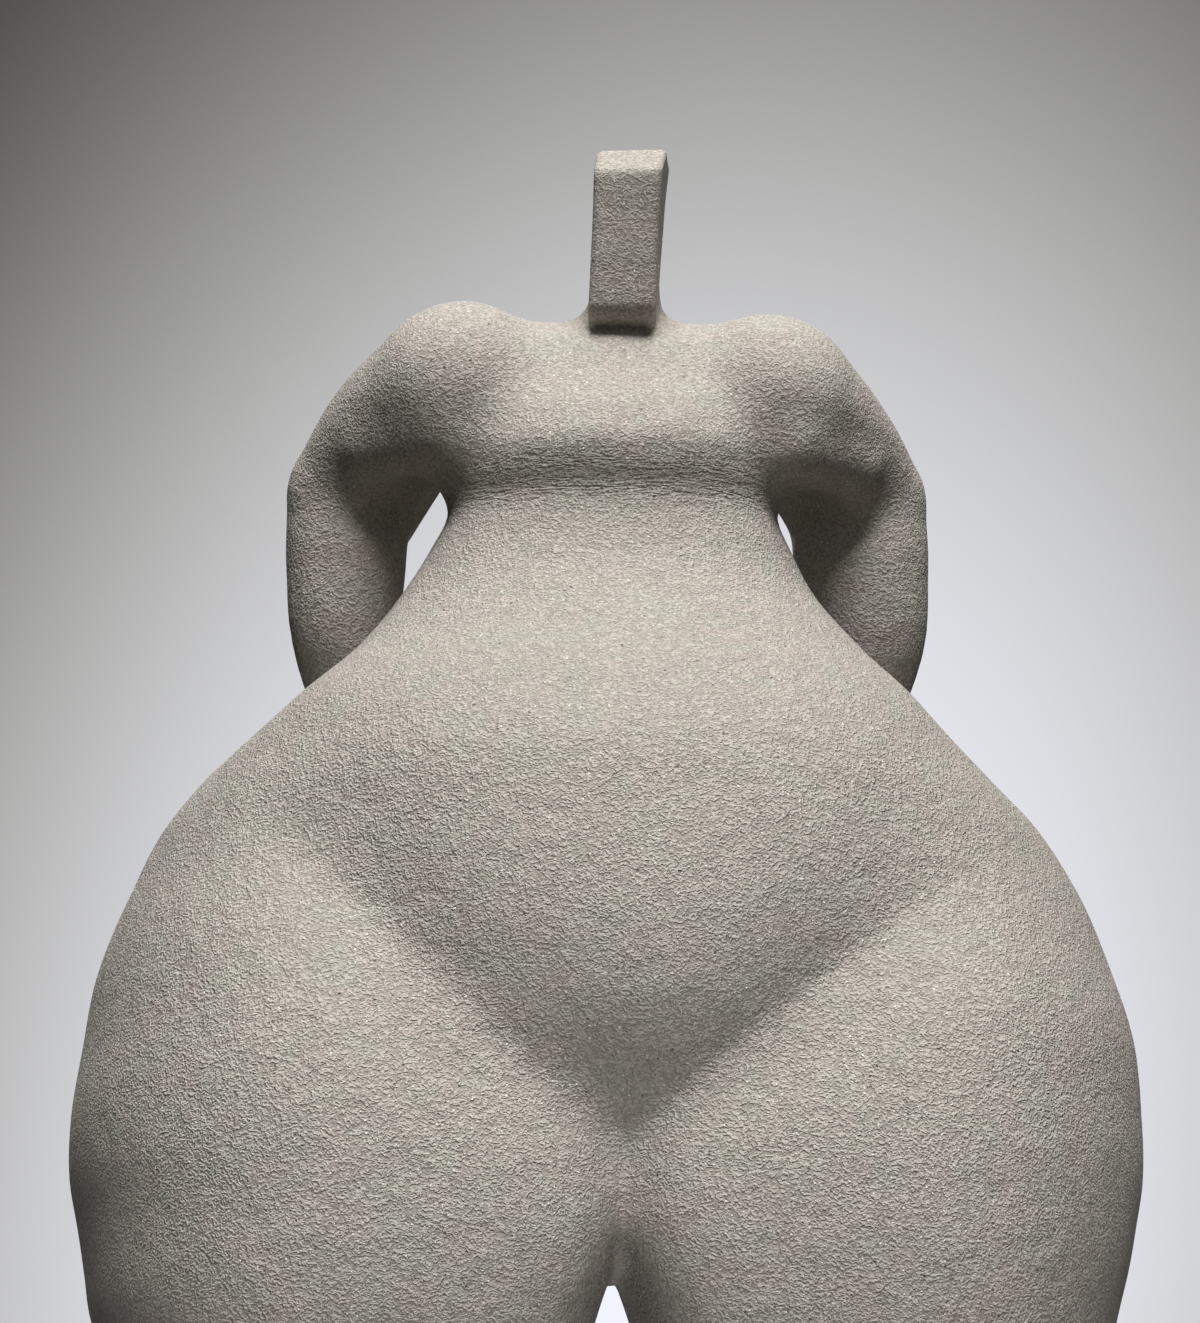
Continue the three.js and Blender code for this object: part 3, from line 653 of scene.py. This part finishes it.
def step_at(tree, value, low, high):
    """Goes smoothly from 0 where the value is low to 1 where it is high; low may be above high."""
    node = tree.nodes.new("ShaderNodeMapRange")
    node.interpolation_type = "SMOOTHSTEP"
    link(tree, value, node.inputs["Value"])
    node.inputs["From Min"].default_value = min(low, high)
    node.inputs["From Max"].default_value = max(low, high)
    node.inputs["To Min"].default_value = 0.0 if low < high else 1.0
    node.inputs["To Max"].default_value = 1.0 if low < high else 0.0
    return node.outputs["Result"]


def mixed(tree, factor, a, b, blend="MIX"):
    node = tree.nodes.new("ShaderNodeMix")
    node.data_type = "RGBA"
    node.blend_type = blend
    link(tree, factor, node.inputs[0])
    link(tree, a, node.inputs[6])
    link(tree, b, node.inputs[7])
    return node.outputs[2]


def total(tree, *terms):
    """Sum of (socket, weight) pairs."""
    result = None
    for socket, weight in terms:
        result = maths(tree, "MULTIPLY_ADD", socket, weight, result if result is not None else 0.0)
    return result


# ---- material: colours, noise scales per millimetre, and ranges where a mask goes from 0 to 1 ----
CLAY = (0.480, 0.449, 0.406, 1)
CLAY_PINK = (0.492, 0.443, 0.406, 1)
CLAY_GREEN = (0.468, 0.453, 0.403, 1)
GROG_PALE = (0.85, 0.82, 0.75, 1)
GROG_DARK = (0.20, 0.18, 0.165, 1)
VALLEY_SHADE_TONE = (0.50, 0.48, 0.46, 1)
HUE_SCALE = 0.11
HUE_PINK = (0.50, 0.66)
HUE_GREEN = (0.50, 0.34)

# Worm-like marks follow the crests of a bent noise, and fade in places.
DRIFT_SCALE = 0.33
DRIFT_REACH = 2.2
WORM_SCALE = 0.84
WORM_SQUEEZE = (1, 1, 1.18)
WORM_STEEPNESS = 6.0
WORM_RANGE = (-0.1, 1.0)
BREAK_SCALE = 0.95
BREAK_RANGE = (0.38, 0.58)
BREAK_LEAST = 0.25
GRIT_SCALE = 1.9
LUMP_SCALE = 0.16

# Grains of grog: how big they are and which share of them shows.
PALE_SCALE = 0.75
PALE_SIZE = (0.24, 0.12)
PALE_PICK = (0.74, 0.78)
DARK_SCALE = 0.62
DARK_SIZE = (0.26, 0.12)
DARK_PICK = (0.91, 0.95)
DARK_SHIFT = (37.0, 11.0, 5.0)

# Fine level creases in the bust fold.
BUST_Z = 496.0
BUST_REACH_UP = (7.0, 2.0)
BUST_REACH_OUT = (44.0, 36.0)
BUST_REACH_FRONT = (-2.0, -12.0)
BUST_SCALE = 0.75
BUST_STRETCH = (0.16, 0.16, 1.0)
BUST_STEEPNESS = 5.0
BUST_RANGE = (0.55, 0.0)

# Relief in metres, and the share of each mark in it; the clay is coarser lower down.
RELIEF = 0.00029
WORM_RELIEF = 1.0
GRIT_RELIEF = 0.75
LUMP_RELIEF = 3.0
PALE_RELIEF = 0.4
DARK_RELIEF = -0.9
CREASE_RELIEF = -1.2
COARSE_HEIGHT = (560.0, 430.0)
COARSE_GAIN = 0.67
COARSE_LEAST = 0.58

# Painted shade: the colour is darkened in the valleys between the marks, where the relief lies in
# shade.
VALLEY_SHADE_WORM = 0.55
VALLEY_SHADE_GRIT = 0.8
VALLEY_SHADE_RANGE = (0.75, 0.30)
VALLEY_SHADE_SHARE = 0.75

ROUGHNESS = 0.86
PALE_SHEEN = -0.35
SPECULAR = 0.35


def stoneware():
    """Unglazed grogged clay: short worm-like marks, pale and dark grains, a faint mottling and
    painted shade in the valleys between the marks.
    """
    material = bpy.data.materials.new("stoneware")
    material.use_nodes = True
    tree = material.node_tree
    shader = tree.nodes["Principled BSDF"]
    metres = tree.nodes.new("ShaderNodeTexCoord").outputs["Object"]
    place = vectors(tree, "SCALE", metres, 1 / MILLIMETRE)

    drift = noise_at(tree, place, DRIFT_SCALE, 1.0, output="Color")
    drift = vectors(tree, "SUBTRACT", drift, (0.5, 0.5, 0.5))
    squeezed = vectors(tree, "MULTIPLY", place, WORM_SQUEEZE)
    bent = vectors(tree, "ADD", squeezed, vectors(tree, "SCALE", drift, DRIFT_REACH))
    swing = noise_at(tree, bent, WORM_SCALE, 1.5)
    swing = maths(tree, "MULTIPLY_ADD", swing, WORM_STEEPNESS, -WORM_STEEPNESS / 2)
    crest = maths(tree, "SUBTRACT", 1.0, maths(tree, "ABSOLUTE", swing))
    worm = step_at(tree, crest, *WORM_RANGE)
    broken = step_at(tree, noise_at(tree, place, BREAK_SCALE, 1.0), *BREAK_RANGE)
    broken = maths(tree, "MULTIPLY_ADD", broken, 1 - BREAK_LEAST, BREAK_LEAST)
    worm = maths(tree, "MULTIPLY", worm, broken)

    grit = noise_at(tree, place, GRIT_SCALE, 3.0, 0.6)
    lumps = noise_at(tree, place, LUMP_SCALE, 2.0)
    gap, pick = grains_at(tree, place, PALE_SCALE)
    pale = maths(tree, "MULTIPLY", step_at(tree, gap, *PALE_SIZE), step_at(tree, pick, *PALE_PICK))
    gap, pick = grains_at(tree, vectors(tree, "ADD", place, DARK_SHIFT), DARK_SCALE)
    dark = maths(tree, "MULTIPLY", step_at(tree, gap, *DARK_SIZE), step_at(tree, pick, *DARK_PICK))

    split = tree.nodes.new("ShaderNodeSeparateXYZ")
    tree.links.new(place, split.inputs[0])
    x, y, z = split.outputs
    up = maths(tree, "ABSOLUTE", maths(tree, "SUBTRACT", z, BUST_Z))
    out = maths(tree, "ABSOLUTE", x)
    band = maths(tree, "MULTIPLY", step_at(tree, up, *BUST_REACH_UP),
                 maths(tree, "MULTIPLY", step_at(tree, out, *BUST_REACH_OUT),
                       step_at(tree, y, *BUST_REACH_FRONT)))
    creases = noise_at(tree, vectors(tree, "MULTIPLY", place, BUST_STRETCH), BUST_SCALE, 2.0)
    creases = maths(tree, "MULTIPLY_ADD", creases, BUST_STEEPNESS, -BUST_STEEPNESS / 2)
    crease = step_at(tree, maths(tree, "ABSOLUTE", creases), *BUST_RANGE)
    crease = maths(tree, "MULTIPLY", band, crease)

    height = total(tree, (worm, WORM_RELIEF), (grit, GRIT_RELIEF), (lumps, LUMP_RELIEF),
                   (pale, PALE_RELIEF), (dark, DARK_RELIEF))
    low = step_at(tree, z, *COARSE_HEIGHT)
    coarse = maths(tree, "MULTIPLY_ADD", low, COARSE_GAIN, COARSE_LEAST)
    height = maths(tree, "MULTIPLY", height, coarse)
    height = total(tree, (height, 1.0), (crease, CREASE_RELIEF))
    bump = tree.nodes.new("ShaderNodeBump")
    bump.inputs["Distance"].default_value = RELIEF
    tree.links.new(height, bump.inputs["Height"])
    tree.links.new(bump.outputs[0], shader.inputs["Normal"])

    hue = noise_at(tree, place, HUE_SCALE, 2.0)
    colour = mixed(tree, step_at(tree, hue, *HUE_PINK), CLAY, CLAY_PINK)
    colour = mixed(tree, step_at(tree, hue, *HUE_GREEN), colour, CLAY_GREEN)
    # Painted shade: the colour darkens in the low valleys between the worm marks and the grit.
    marks = total(tree, (worm, VALLEY_SHADE_WORM), (grit, VALLEY_SHADE_GRIT))
    valley_shade = maths(tree, "MULTIPLY", step_at(tree, marks, *VALLEY_SHADE_RANGE), VALLEY_SHADE_SHARE)
    colour = mixed(tree, valley_shade, colour, VALLEY_SHADE_TONE, "MULTIPLY")
    colour = mixed(tree, pale, colour, GROG_PALE)
    colour = mixed(tree, dark, colour, GROG_DARK)
    tree.links.new(colour, shader.inputs["Base Color"])
    rough = maths(tree, "MULTIPLY_ADD", pale, PALE_SHEEN, ROUGHNESS)
    tree.links.new(rough, shader.inputs["Roughness"])
    shader.inputs["Specular IOR Level"].default_value = SPECULAR
    return material


mesh.materials.append(stoneware())
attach(body, "root")
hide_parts("female_figure")

# ---- floor ----
FLOOR_HALF = 5.0
FLOOR_COLOUR = (0.40, 0.404, 0.412, 1)
FLOOR_ROUGHNESS = 0.9
floor_mesh = bpy.data.meshes.new("floor")
corners = [(i * FLOOR_HALF, j * FLOOR_HALF, 0) for i, j in ((-1, -1), (1, -1), (1, 1), (-1, 1))]
floor_mesh.from_pydata(corners, [], [(0, 1, 2, 3)])
floor = bpy.data.objects.new("floor", floor_mesh)
bpy.context.scene.collection.objects.link(floor)
floor.visible_diffuse = False
floor.visible_glossy = False
floor.visible_shadow = False
floor_material = bpy.data.materials.new("floor")
floor_material.use_nodes = True
floor_shader = floor_material.node_tree.nodes["Principled BSDF"]
floor_shader.inputs["Base Color"].default_value = FLOOR_COLOUR
floor_shader.inputs["Roughness"].default_value = FLOOR_ROUGHNESS
floor_mesh.materials.append(floor_material)

# ---- light: soft lamps named by where they stand ----
# Azimuth from the front and elevation in degrees, share of the light, and tint.
SOFT = math.radians(27)
LIGHT_SCALE = 1.05
LAMPS = {
    "top": (0, 85, 0.32, (1.0, 0.985, 0.96)),
    "high": (20, 70, 0.33, (1.0, 0.995, 0.98)),
    "front": (0, 55, 1.02, (1.0, 0.99, 0.97)),
    "side": (20, 20, 0.06, (1.0, 0.97, 0.93)),
    "low": (0, -76, 0.27, (1.0, 0.995, 0.99)),
    "back": (180, 14, 0.42, (1.0, 0.99, 0.98)),
}
for name, (azimuth, elevation, share, tint) in LAMPS.items():
    a, e = math.radians(azimuth), math.radians(elevation)
    towards = Vector((math.sin(a) * math.cos(e), -math.cos(a) * math.cos(e), math.sin(e)))
    data = bpy.data.lights.new(name, "SUN")
    data.energy = math.pi * share * LIGHT_SCALE
    data.angle = SOFT
    data.color = tint
    lamp = bpy.data.objects.new(name, data)
    lamp.rotation_euler = towards.to_track_quat("Z", "Y").to_euler()
    bpy.context.scene.collection.objects.link(lamp)

# ---- backdrop: a broad glow low behind the figure, seen by the camera alone ----
GLOW_LEVEL = 0.93
GLOW_AZIMUTH = 0.0577
GLOW_RISE = 0.0896
GLOW_LEAN = 0.088
GLOW_ACROSS = 5.78
GLOW_UP = 3.81
GLOW_FALL = 1.32
GLOW_REACH = 0.165
GLOW_OUTER = (1.0506, 1.0249, 0.9245, 1)
GLOW_INNER = (0.9466, 0.972, 1.0814, 1)
RISE_TOP = 0.40
LEAST_FLAT = 0.01
AMBIENT = 0.02


def backdrop():
    """World with a pale glow for the camera and a faint even light for everything else."""
    world = bpy.data.worlds.new("studio")
    bpy.context.scene.world = world
    world.use_nodes = True
    tree = world.node_tree
    background = tree.nodes["Background"]
    split = tree.nodes.new("ShaderNodeSeparateXYZ")
    tree.links.new(tree.nodes.new("ShaderNodeTexCoord").outputs["Generated"], split.inputs[0])
    x, y, z = split.outputs
    flat = total(tree, (maths(tree, "MULTIPLY", x, x), 1.0), (maths(tree, "MULTIPLY", y, y), 1.0))
    flat = maths(tree, "MAXIMUM", maths(tree, "SQRT", flat), LEAST_FLAT)
    rise = maths(tree, "DIVIDE", z, flat)
    rise = maths(tree, "MINIMUM", maths(tree, "MAXIMUM", rise, 0.0), RISE_TOP)
    across = total(tree, (maths(tree, "ARCTAN2", x, y), 1.0), (rise, -GLOW_LEAN))
    across = maths(tree, "ABSOLUTE", maths(tree, "SUBTRACT", across, GLOW_AZIMUTH))
    across = maths(tree, "MINIMUM", across, GLOW_REACH)
    across = maths(tree, "MULTIPLY", across, GLOW_ACROSS)
    up = maths(tree, "MULTIPLY", maths(tree, "SUBTRACT", rise, GLOW_RISE), GLOW_UP)
    spread = total(tree, (maths(tree, "MULTIPLY", across, across), 1.0),
                   (maths(tree, "MULTIPLY", up, up), 1.0))
    fall = maths(tree, "MULTIPLY", maths(tree, "POWER", spread, GLOW_FALL), -1.0)
    level = maths(tree, "MULTIPLY", maths(tree, "EXPONENT", fall), GLOW_LEVEL)
    tint = mixed(tree, level, GLOW_OUTER, GLOW_INNER)
    ray = tree.nodes.new("ShaderNodeLightPath").outputs["Is Camera Ray"]
    tree.links.new(mixed(tree, ray, (1, 1, 1, 1), tint), background.inputs["Color"])
    strength = total(tree, (maths(tree, "MULTIPLY", ray, level), 1.0),
                     (maths(tree, "SUBTRACT", 1.0, ray), AMBIENT))
    tree.links.new(strength, background.inputs["Strength"])


backdrop()

# ---- camera ----
CAMERA_TARGET = Vector((-0.0035, 0, 0.456))
CAMERA_DISTANCE = 1.2
CAMERA_AZIMUTH = math.radians(-3.2)
CAMERA_ELEVATION = math.radians(-12)
SENSOR_WIDTH = 36
LENS = 130.6
CLIP_NEAR = 0.05
CLIP_FAR = 20
camera_data = bpy.data.cameras.new("camera")
camera = bpy.data.objects.new("camera", camera_data)
bpy.context.scene.collection.objects.link(camera)
back = Vector((
    math.sin(CAMERA_AZIMUTH) * math.cos(CAMERA_ELEVATION),
    -math.cos(CAMERA_AZIMUTH) * math.cos(CAMERA_ELEVATION),
    math.sin(CAMERA_ELEVATION),
))
camera.location = CAMERA_TARGET + CAMERA_DISTANCE * back
camera.rotation_euler = (-back).to_track_quat("-Z", "Y").to_euler()
camera_data.sensor_width = SENSOR_WIDTH
camera_data.lens = LENS
camera_data.clip_start = CLIP_NEAR
camera_data.clip_end = CLIP_FAR
bpy.context.scene.camera = camera

bpy.context.scene.view_settings.view_transform = "Standard"
